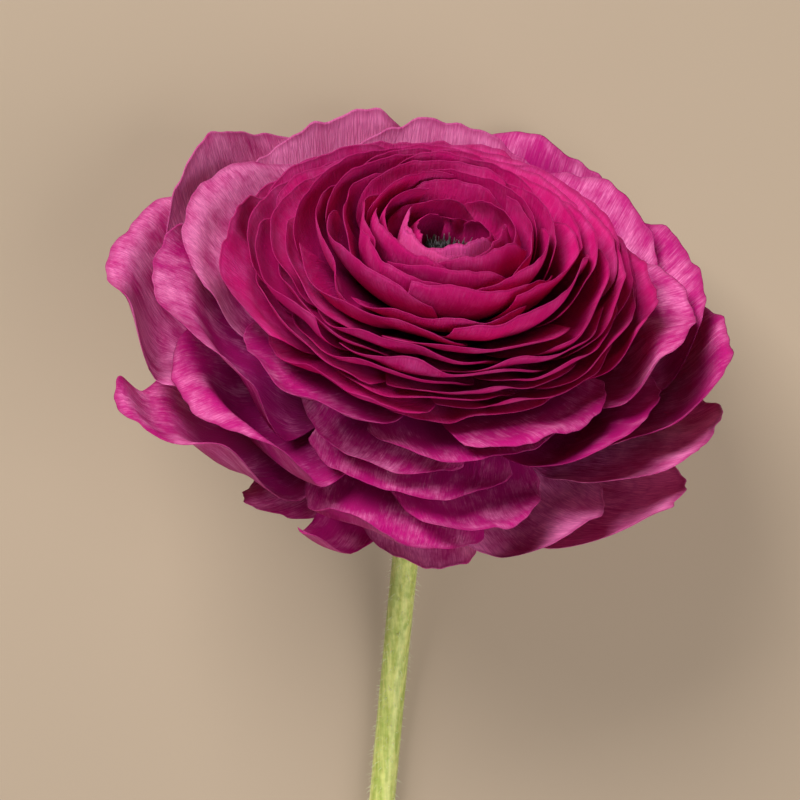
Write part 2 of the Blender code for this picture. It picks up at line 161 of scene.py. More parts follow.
class Petal:
    """A curved sheet from the receptacle to a rounded rim, as an angle from the axis at each distance."""

    def __init__(self, azimuth, rim_radius, rim_height, lean, half_width, root, drop, square, tip, rng):
        self.azimuth = radians(azimuth)
        self.half_width = half_width
        self.drop = drop
        self.square = square
        self.tip = tip
        self.cup = rng.uniform(-0.02, 0.05)
        self.skew = rng.uniform(-0.05, 0.05)
        self.wave = rng.uniform(0.4, 1.1)
        self.phase = rng.uniform(0, 2 * pi)
        self.roll = rng.uniform(-0.02, 0.06)
        self.widest = radians(52)
        self.clearance = CLEARANCE
        self.stiffness = 6
        self.crowded = False
        self.solid = True
        self.push = np.zeros((AROUND, OUTWARDS))
        self.set_midline(polar(RECEPTACLE_RADIUS, radians(root)), radians(root + 4),
                         np.array([rim_radius, rim_height]), radians(lean))

    def set_midline(self, start, start_angle, end, end_angle, samples=200):
        """A cubic curve that leaves the receptacle at one angle and reaches the rim at another."""
        chord = np.linalg.norm(end - start)
        first = start + polar(chord * 0.42, start_angle)
        second = end - polar(chord * 0.38, end_angle)
        s = np.linspace(0, 1, samples)[:, None]
        curve = ((1 - s) ** 3 * start + 3 * (1 - s) ** 2 * s * first
                 + 3 * (1 - s) * s * s * second + s ** 3 * end)
        grow = np.arange(samples) * 1e-6
        self.distances = np.maximum.accumulate(np.linalg.norm(curve, axis=1) + grow)
        self.angles = np.arctan2(curve[:, 0], curve[:, 1])
        self.length = self.distances[-1] - RECEPTACLE_RADIUS

    def midline(self, distance):
        """The angle from the axis along the middle of the petal, carried on past its rim."""
        run = self.distances[-1] - self.distances[-12]
        slope = (self.angles[-1] - self.angles[-12]) / max(run, 0.001)
        past = np.maximum(distance - self.distances[-1], 0)
        return np.interp(distance, self.distances, self.angles) + past * slope

    def half_angle(self, distance):
        """Half the petal's width as an angle around the axis."""
        share = (distance - RECEPTACLE_RADIUS) / self.length
        width = CLAW_HALF_WIDTH + (self.half_width - CLAW_HALF_WIDTH) * ease(share, -0.08, 0.72)
        radius = np.maximum(distance * np.sin(self.midline(distance)), 3.0)
        return self.widest * np.tanh(width / radius / self.widest)

    def rim(self, across):
        """How far out the petal reaches at each place across it, from -1 to 1."""
        off = np.abs(across - self.tip) / (1 + 0.7 * abs(self.tip))
        wave = np.sin(3.1 * across + self.phase) + 0.6 * np.sin(7.3 * across + 2 * self.phase)
        reach = 1 - self.drop * off ** self.square + 0.012 * self.wave * wave
        return RECEPTACLE_RADIUS + self.length * reach

    def bend(self, across, distance):
        """What the petal's cup, skew, waves and rolled rim add to the angle of its midline."""
        share = np.clip((distance - RECEPTACLE_RADIUS) / self.length, 0, 1.2)
        cup = -3 * self.cup * across ** 2 * share ** 1.5
        wave = 0.020 * np.sin(4.2 * across + self.phase) * ease(share, 0.35, 1.0)
        ripple = 0.011 * np.sin(9.5 * across + 1.7 * self.phase) * ease(share, 0.7, 1.0)
        roll = 1.2 * self.roll * ease(share, 0.7, 1.05)
        return cup + self.skew * across * share + self.wave * (wave + ripple) + roll

    def pushed(self, azimuth, distance):
        """The push at any place, read between the points of the grid."""
        turn = (azimuth % (2 * pi)) / (2 * pi) * AROUND
        out = np.clip((distance - DISTANCES[0]) / (DISTANCES[1] - DISTANCES[0]), 0, OUTWARDS - 1.001)
        a, b = np.floor(turn).astype(int) % AROUND, np.floor(out).astype(int)
        p, q = turn - np.floor(turn), out - b
        near = self.push[a, b] * (1 - q) + self.push[a, b + 1] * q
        far = self.push[(a + 1) % AROUND, b] * (1 - q) + self.push[(a + 1) % AROUND, b + 1] * q
        return near * (1 - p) + far * p


def crowded_petals(rng):
    """The petals of the dense part, each a golden angle on from the one inside it."""
    made = []
    for k in range(CROWDED_PETALS):
        share = k / (CROWDED_PETALS - 1)
        radius, height, lean, half, root = (np.interp(share, CROWDED_STATIONS[:, 0], CROWDED_STATIONS[:, c])
                                            for c in range(1, 6))
        azimuth = FIRST_AZIMUTH + k * GOLDEN_ANGLE
        outer = ease(share, 0.45, 1.0)
        inner = 1 - ease(share, 0.05, 0.35)
        back = sin(radians(azimuth))
        radius *= 1 - outer * (FRONT_TUCK * max(-back, 0) + RIGHT_TUCK * max(cos(radians(azimuth)), 0))
        radius *= 1 + rng.uniform(-VARY_RADIUS, VARY_RADIUS)
        radius += EYE_SHIFT * inner * back
        closing = (1 - ease(share, 0.04, 0.14)) * max(back, 0)
        radius -= CLOSE_RADIUS * closing
        height += 0.5 * EYE_SHIFT * inner * -back + rng.uniform(-VARY_HEIGHT, VARY_HEIGHT) * (0.6 + share)
        height += FRONT_RISE * outer * max(-back, 0) - CLOSE_HEIGHT * closing
        lean += -5 * outer * back - CLOSE_LEAN * closing + rng.uniform(-VARY_LEAN, VARY_LEAN)
        half *= 1 + rng.uniform(-VARY_WIDTH, VARY_WIDTH)
        petal = Petal(azimuth, radius, height, lean, half, root, rng.uniform(0.09, 0.22),
                      rng.uniform(2.4, 4.4), rng.uniform(-0.3, 0.3), rng)
        petal.widest = radians(82 - 30 * share)
        petal.crowded = k < CROWDED_PETALS - LAST_CROWDED
        petal.solid = k % EVERY == 0
        petal.stiffness = 3
        petal.clearance = CROWDED_CLEARANCE
        made.append(petal)
    return made


def clearance_of(petal):
    """The distance that a petal keeps from those inside it: less near its root and in the dense part."""
    if petal.crowded:
        return FINE_GAP + FINE_GAP_GROWTH * ease(DISTANCES, 7, 22)
    return solid_clearance_of(petal)


def solid_clearance_of(petal):
    """The distance that a solid petal keeps from the solid ones inside it."""
    return petal.clearance - ROOT_RELIEF * (1 - ease(DISTANCES, 7, 18))


def spread(field, steps):
    """Each place takes the largest value within so many steps of it."""
    for _ in range(steps):
        field = np.maximum(field, np.maximum(np.roll(field, 1, 0), np.roll(field, -1, 0)))
        wide = np.pad(field, ((0, 0), (1, 1)), mode="edge")
        field = np.maximum(field, np.maximum(wide[:, 2:], wide[:, :-2]))
    return field


def soften(field, steps):
    """Each place takes the mean of its neighbourhood."""
    for _ in range(steps):
        field = (np.roll(field, 1, 0) + 2 * field + np.roll(field, -1, 0)) / 4
        wide = np.pad(field, ((0, 0), (1, 1)), mode="edge")
        field = (wide[:, 2:] + 2 * field + wide[:, :-2]) / 4
    return field


def drape(sheets):
    """Push each sheet outwards until it clears all inside it, and a solid one every other solid."""
    covered = np.full((AROUND, OUTWARDS), -9.0)
    solids = covered.copy()
    for sheet in sheets:
        middle = sheet.midline(DISTANCES)
        slope = np.gradient(middle, DISTANCES) * DISTANCES
        lean = np.minimum(np.sqrt(1 + slope ** 2), 2.5) / DISTANCES
        turned = (AZIMUTHS[:, None] - sheet.azimuth + pi) % (2 * pi) - pi
        across = turned / sheet.half_angle(DISTANCES)[None, :]
        inside = (np.abs(across) <= 1.10) & (DISTANCES <= sheet.rim(np.clip(across, -1, 1)) + 1.0)
        wanted = middle + sheet.bend(np.clip(across, -1.3, 1.3), DISTANCES[None, :])
        floor = covered + clearance_of(sheet) * lean
        if sheet.solid:
            floor = np.maximum(floor, solids + solid_clearance_of(sheet) * lean)
        short = np.where(inside, np.maximum(floor - wanted, 0), 0)
        sheet.push = soften(spread(short, sheet.stiffness), sheet.stiffness)
        lies = wanted + sheet.push
        covered = np.where(inside, np.maximum(covered, lies), covered)
        if sheet.solid:
            solids = np.where(inside, np.maximum(solids, lies), solids)


def bloom_axes():
    """The bloom's right, back and facing directions in the part's frame, as the columns of a matrix."""
    tilt, turn = radians(FACE_TILT), radians(FACE_TURN)
    facing = np.array([sin(tilt) * sin(turn), sin(tilt) * cos(turn), cos(tilt)])
    right = np.array([cos(turn), -sin(turn), 0.0])
    return np.stack([right, np.cross(facing, right), facing], axis=1)


def rest_on_surface(points):
    """Squeeze what hangs lowest, as petals do that carry the bloom, and keep the rest."""
    axes = bloom_axes()
    placed = points @ axes.T
    over = np.maximum(-SOFT_FROM - placed[..., 2], 0)
    placed[..., 2] += over - SOFT_DEPTH * (1 - np.exp(-over / SOFT_DEPTH))
    return placed @ axes


def stem_centre(along):
    """The stem's centre line in the part's frame, at this distance from the receptacle along -Y."""
    axes = bloom_axes()
    slope = axes[2, 2] / axes[1, 2]
    drop = HEAD_AT[2] - STEM_RADIUS - slope * STEM_STRAIGHT
    curve = 2 * drop / slope
    past = np.clip(along - STEM_STRAIGHT, 0, curve)
    straight = HEAD_AT[2] - slope * np.minimum(along, STEM_STRAIGHT)
    height = straight - slope * (past - past ** 2 / (2 * curve))
    sideways = STEM_LEAN * along + STEM_SWING * (1 - np.exp(-along / STEM_SWING_OVER))
    return np.stack([HEAD_AT[0] - sideways, HEAD_AT[1] - along, height], -1)


# The seeds of the random numbers that shape the flower.
PETAL_SEED = 7
FINE_SEED = 11
EYE_SEED = 5
STEM_SEED = 3

# The fine petals. A grid is so many points across and so many along.
HEART_GRID = (41, 31)
OUTER_GRID = (57, 41)
SEPAL_GRID = (17, 21)
FINE_THICKNESS = 0.15
FINE_SEAT = -0.3  # the claws start inside the receptacle's surface
RUFFLE = 0.3  # how far a loose petal's rim waves to each side, and a crowded one's less than half of that
NICKS = ((13, 0.16), (23, 0.12), (37, 0.08))  # how often and how far a rim's outline is nicked

# Petals paler than the rest. The first ones are paler where they stand in front of the eye: a painted
# highlight, where the light from above falls on their outer faces. The loose ones around the first of
# these two azimuths are paler at the back left, which faces the key light: painted light. Around the
# second, which counts only for the last petals, they are paler too.
HIGHLIGHTED_EYE_PETALS = 8
LIT_BACK_AT = 130
PALE_RIGHT_AT = 330
PALE_RIGHT_AFTER = 90
SEPAL_PALENESS = 0.3

# The fine eye: its core's profile as (radius, height) pairs, the carpels on it and the stamens around it.
EYE_CORE = [(2.2, 5.2), (3.4, 7.6), (3.9, 9.6), (3.6, 11.2), (2.6, 12.3), (1.3, 12.9), (0.3, 13.0)]
EYE_SIDES = 32
CARPELS = 230
CARPEL_LENGTH = 1.5
CARPEL_HOOK = 0.7  # how far its style bends up
CARPEL_RADII = [0.12, 0.24, 0.27, 0.22, 0.11, 0.06, 0.05, 0.045, 0.02]
STAMENS = 64
STAMEN_FOOT = (3.9, 4.6)  # radius and height
STAMEN_HEIGHTS = (10.6, 12.4)
STAMEN_RADII = [0.10, 0.09, 0.09, 0.09, 0.08, 0.08, 0.08, 0.20, 0.27, 0.27, 0.22, 0.05]

# The fine stem.
STEM_RINGS = 150  # below its neck
STEM_SIDES = 32
STEM_HAIRS = 1500
FIRST_HAIR_RING = 24  # no hairs on the receptacle and the neck
HAIR_RADII = [0.035, 0.03, 0.02, 0.008]

# Petal tissue, as linear colours: dark base, body, blush, pale streaks and rim. The dark base reaches
# far up each petal: partly the petal's own darker base and partly painted shade, where the inner parts
# lie under the petals over them. Then how strong the streaks are, and at which share of the petal's
# length the dark base and its painted shade have given way to the body's colour.
HEART_TISSUE = ((0.06, 0.001, 0.010), (0.50, 0.005, 0.140), (0.48, 0.007, 0.21),
                (0.72, 0.10, 0.34), (0.20, 0.003, 0.06), 0.6, 0.88)
OUTER_TISSUE = ((0.06, 0.001, 0.02), (0.40, 0.005, 0.150), (0.30, 0.008, 0.17),
                (0.88, 0.24, 0.52), (0.27, 0.008, 0.10), 0.95, 0.9)

# The lights: place from the bloom and size in metres, power in watts, colour.
LIGHTS = {
    "key": ((-0.52, 0.86, 0.86), 0.8, 27.5, (1.0, 0.98, 0.96)),
    "fill": ((0.70, -0.42, 0.85), 0.9, 11.0, (1.0, 0.98, 0.97)),
    "side": ((-0.80, -0.70, 0.45), 0.6, 3.0, (1.0, 0.98, 0.96)),
}
SKY_COLOUR = (0.95, 0.96, 1.0, 1.0)
SKY_STRENGTH = 0.07

# The stage, in metres, and the camera: its place from the bloom in millimetres.
FLOOR_HALF = 5.0
FLOOR_GLOW = 0.62  # how much the floor adds to its own light, to keep the shadow on it weak
CAMERA_FROM_BLOOM = (-5.9, -13.4, 530.0)
CAMERA_LENS = 149


class Tree:
    """A node material with one Principled shader, built by short calls."""

    def __init__(self, name):
        self.material = bpy.data.materials.new(name)
        self.material.use_nodes = True
        self.nodes = self.material.node_tree.nodes
        self.links = self.material.node_tree.links
        self.shader = self.nodes["Principled BSDF"]

    def node(self, kind, inputs=(), **settings):
        made = self.nodes.new(kind)
        for name, value in settings.items():
            setattr(made, name, value)
        for key, value in dict(inputs).items():
            if isinstance(value, bpy.types.NodeSocket):
                self.links.new(value, made.inputs[key])
            else:
                made.inputs[key].default_value = value
        return made

    def math(self, operation, a, b):
        return self.node("ShaderNodeMath", {0: a, 1: b}, operation=operation).outputs[0]

    def step(self, value, low, high):
        """0 below low, 1 above high, smooth between."""
        made = self.node("ShaderNodeMapRange", {"Value": value, "From Min": low, "From Max": high},
                         interpolation_type="SMOOTHSTEP")
        return made.outputs["Result"]

    def mix(self, share, first, second):
        made = self.node("ShaderNodeMix", data_type="RGBA")
        for key, value in ((0, share), (6, first), (7, second)):
            if isinstance(value, bpy.types.NodeSocket):
                self.links.new(value, made.inputs[key])
            else:
                made.inputs[key].default_value = (*value, 1.0) if key else value
        return made.outputs[2]

    def read(self, name):
        """The three numbers of a mesh attribute."""
        vector = self.node("ShaderNodeAttribute", attribute_name=name).outputs["Vector"]
        return self.node("ShaderNodeSeparateXYZ", {0: vector}).outputs

    def join(self, x, y, z):
        return self.node("ShaderNodeCombineXYZ", {0: x, 1: y, 2: z}).outputs[0]

    def noise(self, at, scale, detail=3.0, roughness=0.55):
        return self.node("ShaderNodeTexNoise", {"Vector": at, "Scale": scale, "Detail": detail,
                                                "Roughness": roughness}).outputs["Fac"]

    def bump(self, height, distance):
        """Roughens the surface by a height between 0 and 1, at this distance in millimetres."""
        made = self.node("ShaderNodeBump", {"Height": height, "Distance": distance * MM, "Strength": 1.0})
        self.links.new(made.outputs[0], self.shader.inputs["Normal"])

    def finish(self, colour, roughness, sheen=0.0, inside=0.0, gloss=0.5):
        """Sets the shader: a colour that is made by nodes, and plain numbers for the rest."""
        self.links.new(colour, self.shader.inputs["Base Color"])
        self.shader.inputs["Roughness"].default_value = roughness
        self.shader.inputs["Specular IOR Level"].default_value = gloss
        self.shader.inputs["Sheen Weight"].default_value = sheen
        self.shader.inputs["Sheen Roughness"].default_value = 0.5
        self.shader.inputs["Subsurface Weight"].default_value = inside
        self.shader.inputs["Subsurface Radius"].default_value = (1.0, 0.25, 0.4)
        self.shader.inputs["Subsurface Scale"].default_value = 1.2 * MM
        return self.material


def petal_skin(name, dark_base_and_shade, body, blush, pale, rim, streaks, dark_to):
    """Petal tissue: magenta at heart, veined lengthwise, paling in streaks towards the rim.

    The mesh attribute "place" holds the distance across and along the petal in millimetres and the
    petal's own number; "tone" holds how far along from base to rim, and how pale the petal is, with
    painted light added to that on some petals.
    """
    tree = Tree(name)
    across, along, own = tree.read("place")[:3]
    share, paleness_and_light = tree.read("tone")[:2]
    shift = tree.math("MULTIPLY", own, 7.31)
    streak_at = tree.join(tree.math("MULTIPLY", across, 3.0), tree.math("MULTIPLY", along, 0.30), shift)
    streak = tree.noise(streak_at, 1.0, 4.0, 0.62)
    fine_at = tree.join(tree.math("MULTIPLY", across, 8.0), tree.math("MULTIPLY", along, 0.55), shift)
    hair = tree.noise(fine_at, 1.0, 2.0, 0.5)
    cloud = tree.noise(tree.join(across, along, shift), 0.24, 4.0, 0.6)
    mesh_at = tree.join(tree.math("MULTIPLY", across, 2.2), tree.math("MULTIPLY", along, 0.5), shift)
    net = tree.node("ShaderNodeTexVoronoi", {"Vector": mesh_at, "Scale": 1.0, "Randomness": 1.0},
                    feature="DISTANCE_TO_EDGE").outputs["Distance"]
    vein = tree.step(net, 0.0, 0.2)
    rise = tree.math("ADD", tree.step(share, 0.3, 1.0), tree.math("MULTIPLY", streak, 1.3))
    rise = tree.math("ADD", rise, tree.math("MULTIPLY", hair, 0.9))
    rise = tree.math("ADD", rise, tree.math("MULTIPLY", cloud, 2.6))
    # Painted light: on some petals the paleness holds light as well as their own paler tissue.
    rise = tree.math("ADD", rise, tree.math("MULTIPLY", paleness_and_light, 1.2))
    light = tree.step(rise, 3.25, 4.8)
    light = tree.math("MULTIPLY", light, tree.math("ADD", tree.math("MULTIPLY", vein, 0.3), 0.7))
    # The dark base reaches far up the petal: partly its own darker base, partly painted shade.
    shaded_body = tree.mix(tree.step(share, dark_to - 0.5, dark_to), dark_base_and_shade, body)
    flushed = tree.mix(tree.math("MULTIPLY", tree.step(cloud, 0.35, 0.7), paleness_and_light), shaded_body, blush)
    colour = tree.mix(tree.math("MULTIPLY", light, streaks), flushed, pale)
    edge = tree.step(share, 0.975, 0.998)
    colour = tree.mix(tree.math("MULTIPLY", edge, 0.6), colour, rim)
    height = tree.math("ADD", tree.math("MULTIPLY", streak, 0.8), tree.math("MULTIPLY", vein, 0.25))
    tree.bump(height, 0.12)
    return tree.finish(colour, 0.6, inside=0.06, gloss=0.12)


def green_skin(name, low, high, roughness):
    """Stem and sepal tissue, with lengthwise streaks and small paler flecks."""
    tree = Tree(name)
    at = tree.node("ShaderNodeTexCoord").outputs["Object"]
    parts = tree.node("ShaderNodeSeparateXYZ", {0: at}).outputs
    lengthwise = tree.join(parts[0], tree.math("MULTIPLY", parts[1], 0.08), parts[2])
    streak = tree.noise(lengthwise, 1400.0, 3.0)
    fleck = tree.noise(at, 900.0, 2.0)
    share = tree.math("ADD", tree.math("MULTIPLY", streak, 0.8), tree.math("MULTIPLY", fleck, 0.4))
    colour = tree.mix(tree.step(share, 0.35, 0.85), low, high)
    tree.bump(streak, 0.1)
    return tree.finish(colour, roughness, sheen=0.15, inside=0.15)


def tip_skin(name, base, tip, low, high, roughness):
    """Tissue that changes from its base to its tip: the mesh attribute "tone" holds how far along."""
    tree = Tree(name)
    share, own = tree.read("tone")[:2]
    speck = tree.noise(tree.join(share, tree.math("MULTIPLY", own, 9.0), 0.0), 3.0, 2.0)
    rise = tree.math("ADD", share, tree.math("MULTIPLY", speck, 0.5))
    colour = tree.mix(tree.step(rise, low, high), base, tip)
    return tree.finish(colour, roughness, sheen=0.3)


def plain_skin(name, first, second, scale, roughness, glow=0.0):
    """A surface whose colour varies softly between two."""
    tree = Tree(name)
    at = tree.node("ShaderNodeTexCoord").outputs["Object"]
    colour = tree.mix(tree.noise(at, scale, 4.0), first, second)
    # Painted light: the surface glows in its own colour, which lifts the shadows that fall on it.
    if glow:
        tree.links.new(colour, tree.shader.inputs["Emission Color"])
        tree.shader.inputs["Emission Strength"].default_value = glow
    return tree.finish(colour, roughness)


def new_piece(name, points, faces, skin, nodes=(), attributes=(), place=None):
    """A smooth mesh piece from points in millimetres, which rides on the part and stands for CAD nodes."""
    mesh = bpy.data.meshes.new(name)
    mesh.from_pydata((np.asarray(points) * MM).tolist(), [], faces)
    mesh.materials.append(skin)
    mesh.shade_smooth()
    for title, values in dict(attributes).items():
        held = mesh.attributes.new(title, "FLOAT_VECTOR", "POINT")
        held.data.foreach_set("vector", np.asarray(values, np.float32).ravel())
    made = bpy.data.objects.new(name, mesh)
    bpy.context.scene.collection.objects.link(made)
    if place is not None:
        mesh.transform(place)
    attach(made, "root")
    if nodes:
        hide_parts(*nodes)
    return made


def bloom_place():
    turn = Matrix(bloom_axes().tolist()).to_4x4()
    return Matrix.Translation((HEAD_AT * MM).tolist()) @ turn


def ruffled(petal, across, share, distance, rng):
    """The small waves of the rim, as an angle at each place of the fine sheet."""
    waves = 0
    for count, size in ((6, 0.5), (10, 0.35), (17, 0.2)):
        waves = waves + size * np.sin(count * across + rng.uniform(0, 2 * pi) + 2 * share)
    return RUFFLE * (0.4 if petal.crowded else 1.0) * waves * ease(share, 0.62, 1.0) / distance


def fine_petal(name, petal, grid, skin, nodes, number, paleness_and_light, rng):
    """A petal as a closed thin body: two sheets that meet along the rim."""
    columns, rows = grid
    across = np.concatenate([[-1], np.linspace(-0.992, 0.992, columns - 2), [1]])[:, None]
    along = np.concatenate([np.linspace(0, 0.994, rows - 1) ** 0.85, [1]])[None, :]
    start = RECEPTACLE_RADIUS + FINE_SEAT
    nicks = sum(size * np.sin(count * across + rng.uniform(0, 2 * pi)) for count, size in NICKS)
    nicks = nicks * (0.5 if petal.crowded else 1.0)
    distance = start + (petal.rim(across) + nicks - start) * along
    azimuth = petal.azimuth + across * petal.half_angle(distance)
    share = (distance - RECEPTACLE_RADIUS) / petal.length
    angle = petal.midline(distance) + petal.bend(across, distance) + petal.pushed(azimuth, distance)
    angle = angle + ruffled(petal, across, share, distance, rng)
    flat = distance * np.sin(angle)
    middle = np.stack([flat * np.cos(azimuth), flat * np.sin(azimuth), distance * np.cos(angle)], -1)
    middle = rest_on_surface(middle)
    down, over = np.gradient(middle, axis=0), np.gradient(middle, axis=1)
    normal = np.cross(down, over)
    normal /= np.maximum(np.linalg.norm(normal, axis=2), 1e-9)[..., None]
    half = FINE_THICKNESS / 2
    count = columns * rows
    front = np.arange(count).reshape(columns, rows)
    back = front + count
    for edge in (np.s_[0, :], np.s_[-1, :], np.s_[:, 0], np.s_[:, -1]):
        back[edge] = front[edge]
    inner = np.unique(back[back >= count])
    renumber = np.arange(2 * count)
    renumber[inner] = count + np.arange(len(inner))
    back = renumber[back]
    lift = np.full((columns, rows, 1), half)
    lift[0], lift[-1], lift[:, 0], lift[:, -1] = 0, 0, 0, 0
    upper = (middle - lift * normal).reshape(-1, 3)
    lower = (middle + lift * normal).reshape(-1, 3)[inner - count]
    quads = []
    for sheet, order in ((front, 1), (back, -1)):
        corners = [sheet[:-1, :-1], sheet[1:, :-1], sheet[1:, 1:], sheet[:-1, 1:]][::order]
        quads += np.stack(corners, -1).reshape(-1, 4).tolist()
    mm_across = (azimuth - petal.azimuth) * flat
    whole = [np.broadcast_to(v, (columns, rows)) for v in (mm_across, distance, number)]
    place = np.stack(whole, -1).reshape(-1, 3)
    whole = [np.broadcast_to(v, (columns, rows)) for v in (along, paleness_and_light, 0.0)]
    tone = np.stack(whole, -1).reshape(-1, 3)
    return new_piece(name, np.concatenate([upper, lower]), quads, skin, nodes,
                     {"place": np.concatenate([place, place[inner - count]]),
                      "tone": np.concatenate([tone, tone[inner - count]])}, bloom_place())


def build_petals():
    """All petals and sepals, draped together from the innermost out, and then drawn one by one."""
    rng = np.random.default_rng(PETAL_SEED)
    crowded = crowded_petals(rng)
    loose = [Petal(*row, rng) for row in LOOSE_PETALS]
    sepals = [Petal(azimuth, *SEPAL, rng) for azimuth in SEPAL_AZIMUTHS]
    for sepal in sepals:
        sepal.clearance = SEPAL_CLEARANCE
    drape(crowded + loose + sepals)
    fine = np.random.default_rng(FINE_SEED)
    heart = petal_skin("heart_tissue", *HEART_TISSUE)
    blush = petal_skin("outer_tissue", *OUTER_TISSUE)
    green = green_skin("sepal_tissue", (0.10, 0.16, 0.03), (0.30, 0.38, 0.12), 0.6)
    for k, petal in enumerate(crowded):
        nodes = [f"petal_{k:02d}"] if k % EVERY == 0 else []
        front = max(-sin(petal.azimuth), 0)
        # Painted highlight: the first petals are paler in front of the eye, where the light from above
        # falls.
        eye_highlight = 1.1 * front if k < HIGHLIGHTED_EYE_PETALS else 0
        paleness_and_light = fine.uniform(0.0, 0.35) + 0.15 * k / CROWDED_PETALS + eye_highlight
        fine_petal(f"fine_petal_{k:02d}", petal, HEART_GRID, heart, nodes, k, paleness_and_light, fine)
    for k, petal in enumerate(loose, CROWDED_PETALS):
        # Painted light: the loose petals at the back left, which face the key light, are made paler.
        lit_back_left = max(cos(petal.azimuth - radians(LIT_BACK_AT)), 0)
        low_right = max(cos(petal.azimuth - radians(PALE_RIGHT_AT)), 0) if k > PALE_RIGHT_AFTER else 0
        paleness_and_light = fine.uniform(0.05, 0.35) + 0.75 * lit_back_left ** 4 + 0.7 * low_right ** 4
        nodes = [f"petal_{k:02d}"]
        fine_petal(f"fine_petal_{k:02d}", petal, OUTER_GRID, blush, nodes, k, paleness_and_light, fine)
    for k, sepal in enumerate(sepals):
        nodes = [f"sepal_{k}"]
        fine_petal(f"fine_sepal_{k}", sepal, SEPAL_GRID, green, nodes, k, SEPAL_PALENESS, fine)


def tubes(paths, radii, sides):
    """Points, faces and how far along each point is, of tapering tubes along many equally long paths."""
    count, steps, _ = paths.shape
    ahead = np.gradient(paths, axis=1)
    ahead /= np.linalg.norm(ahead, axis=2)[..., None]
    aside = np.cross(ahead, [0.31, 0.52, 0.79])
    aside /= np.linalg.norm(aside, axis=2)[..., None]
    other = np.cross(ahead, aside)
    around = np.arange(sides) * 2 * pi / sides
    ring = np.cos(around)[:, None] * aside[:, :, None, :] + np.sin(around)[:, None] * other[:, :, None, :]
    points = paths[:, :, None, :] + ring * np.broadcast_to(radii, (count, steps))[:, :, None, None]
    number = np.arange(count * steps * sides).reshape(count, steps, sides)
    after = np.roll(number, -1, axis=2)
    walls = np.stack([number[:, :-1], after[:, :-1], after[:, 1:], number[:, 1:]], -1).reshape(-1, 4)
    faces = walls.tolist() + number[:, 0, ::-1].tolist() + number[:, -1].tolist()
    share = np.broadcast_to(np.linspace(0, 1, steps)[None, :, None], (count, steps, sides))
    own = np.broadcast_to((np.arange(count) % 17 / 17.0)[:, None, None], (count, steps, sides))
    tone = np.stack([share, own, 0 * own], -1).reshape(-1, 3)
    return points.reshape(-1, 3), faces, tone


def build_eye():
    """A dark core, the carpels that cover it and the stamens around it."""
    rng = np.random.default_rng(EYE_SEED)
    dark = tip_skin("carpel_tissue", (0.012, 0.010, 0.014), (0.22, 0.20, 0.22), 0.85, 1.4, 0.6)
    dust = tip_skin("stamen_tissue", (0.030, 0.012, 0.022), (0.060, 0.045, 0.030), 0.9, 1.3, 0.7)
    core = plain_skin("eye_core", (0.006, 0.005, 0.007), (0.02, 0.014, 0.018), 900.0, 0.7)
    outline = np.array(EYE_CORE)
    around = np.arange(EYE_SIDES) * 2 * pi / EYE_SIDES
    rings = np.array([[(r * cos(a), r * sin(a), z) for a in around] for r, z in outline])
    number = np.arange(rings.shape[0] * EYE_SIDES).reshape(-1, EYE_SIDES)
    after = np.roll(number, -1, axis=1)
    faces = np.stack([number[:-1], after[:-1], after[1:], number[1:]], -1).reshape(-1, 4).tolist()
    faces += [number[0, ::-1].tolist(), number[-1].tolist()]
    new_piece("fine_eye_core", rings.reshape(-1, 3), faces, core, place=bloom_place())

    # Carpels: a swollen base on the dome and a style that hooks over towards the top.
    share = (np.arange(CARPELS) + 0.5) / CARPELS
    turn = np.radians(GOLDEN_ANGLE) * np.arange(CARPELS)
    along = np.cumsum(np.concatenate([[0], np.linalg.norm(np.diff(outline, axis=0), axis=1)]))
    where = along[-1] * (1 - np.sqrt(share)) * 0.98
    radius = np.interp(where, along, outline[:, 0])
    height = np.interp(where, along, outline[:, 1])
    out_radius = np.interp(where + 0.3, along, outline[:, 0]) - np.interp(where - 0.3, along, outline[:, 0])
    out_height = np.interp(where + 0.3, along, outline[:, 1]) - np.interp(where - 0.3, along, outline[:, 1])
    normal = np.stack([out_height, -out_radius], -1) / np.hypot(out_radius, out_height)[:, None]
    spot = np.stack([radius * np.cos(turn), radius * np.sin(turn), height], -1)
    out = np.stack([normal[:, 0] * np.cos(turn), normal[:, 0] * np.sin(turn), normal[:, 1]], -1)
    out += rng.normal(0, 0.14, out.shape)
    up = np.array([0, 0, 1.0]) + rng.normal(0, 0.35, out.shape)
    s = np.linspace(0, 1, len(CARPEL_RADII))[None, :, None]
    size = rng.uniform(0.85, 1.15, (CARPELS, 1, 1))
    straight = CARPEL_LENGTH * s * out[:, None, :]
    paths = spot[:, None, :] + size * (straight + CARPEL_HOOK * s ** 3 * up[:, None, :])
    points, faces, tone = tubes(paths, np.array(CARPEL_RADII), 7)
    new_piece("fine_carpels", points, faces, dark, ["carpel_cone"], {"tone": tone},
              bloom_place())

    # Stamens: a thin filament that leans outwards and a longer anther at its end.
    turn = np.arange(STAMENS) * 2 * pi / STAMENS + rng.uniform(-0.05, 0.05, STAMENS)
    near, foot = STAMEN_FOOT
    low = np.stack([near * np.cos(turn), near * np.sin(turn), np.full(STAMENS, foot)], -1)
    high = rng.uniform(*STAMEN_HEIGHTS, STAMENS)
    wide = 5.0 + 0.09 * (high - 8) + rng.uniform(-0.15, 0.2, STAMENS)
    top = np.stack([wide * np.cos(turn), wide * np.sin(turn), high], -1)
    s = np.linspace(0, 1, len(STAMEN_RADII))[None, :, None]
    paths = low[:, None, :] * (1 - s) + top[:, None, :] * s
    paths[..., :2] *= 1 + 0.10 * np.sin(pi * s)
    points, faces, tone = tubes(paths, np.array(STAMEN_RADII), 8)
    new_piece("fine_stamens", points, faces, dust, ["stamens"], {"tone": tone}, bloom_place())


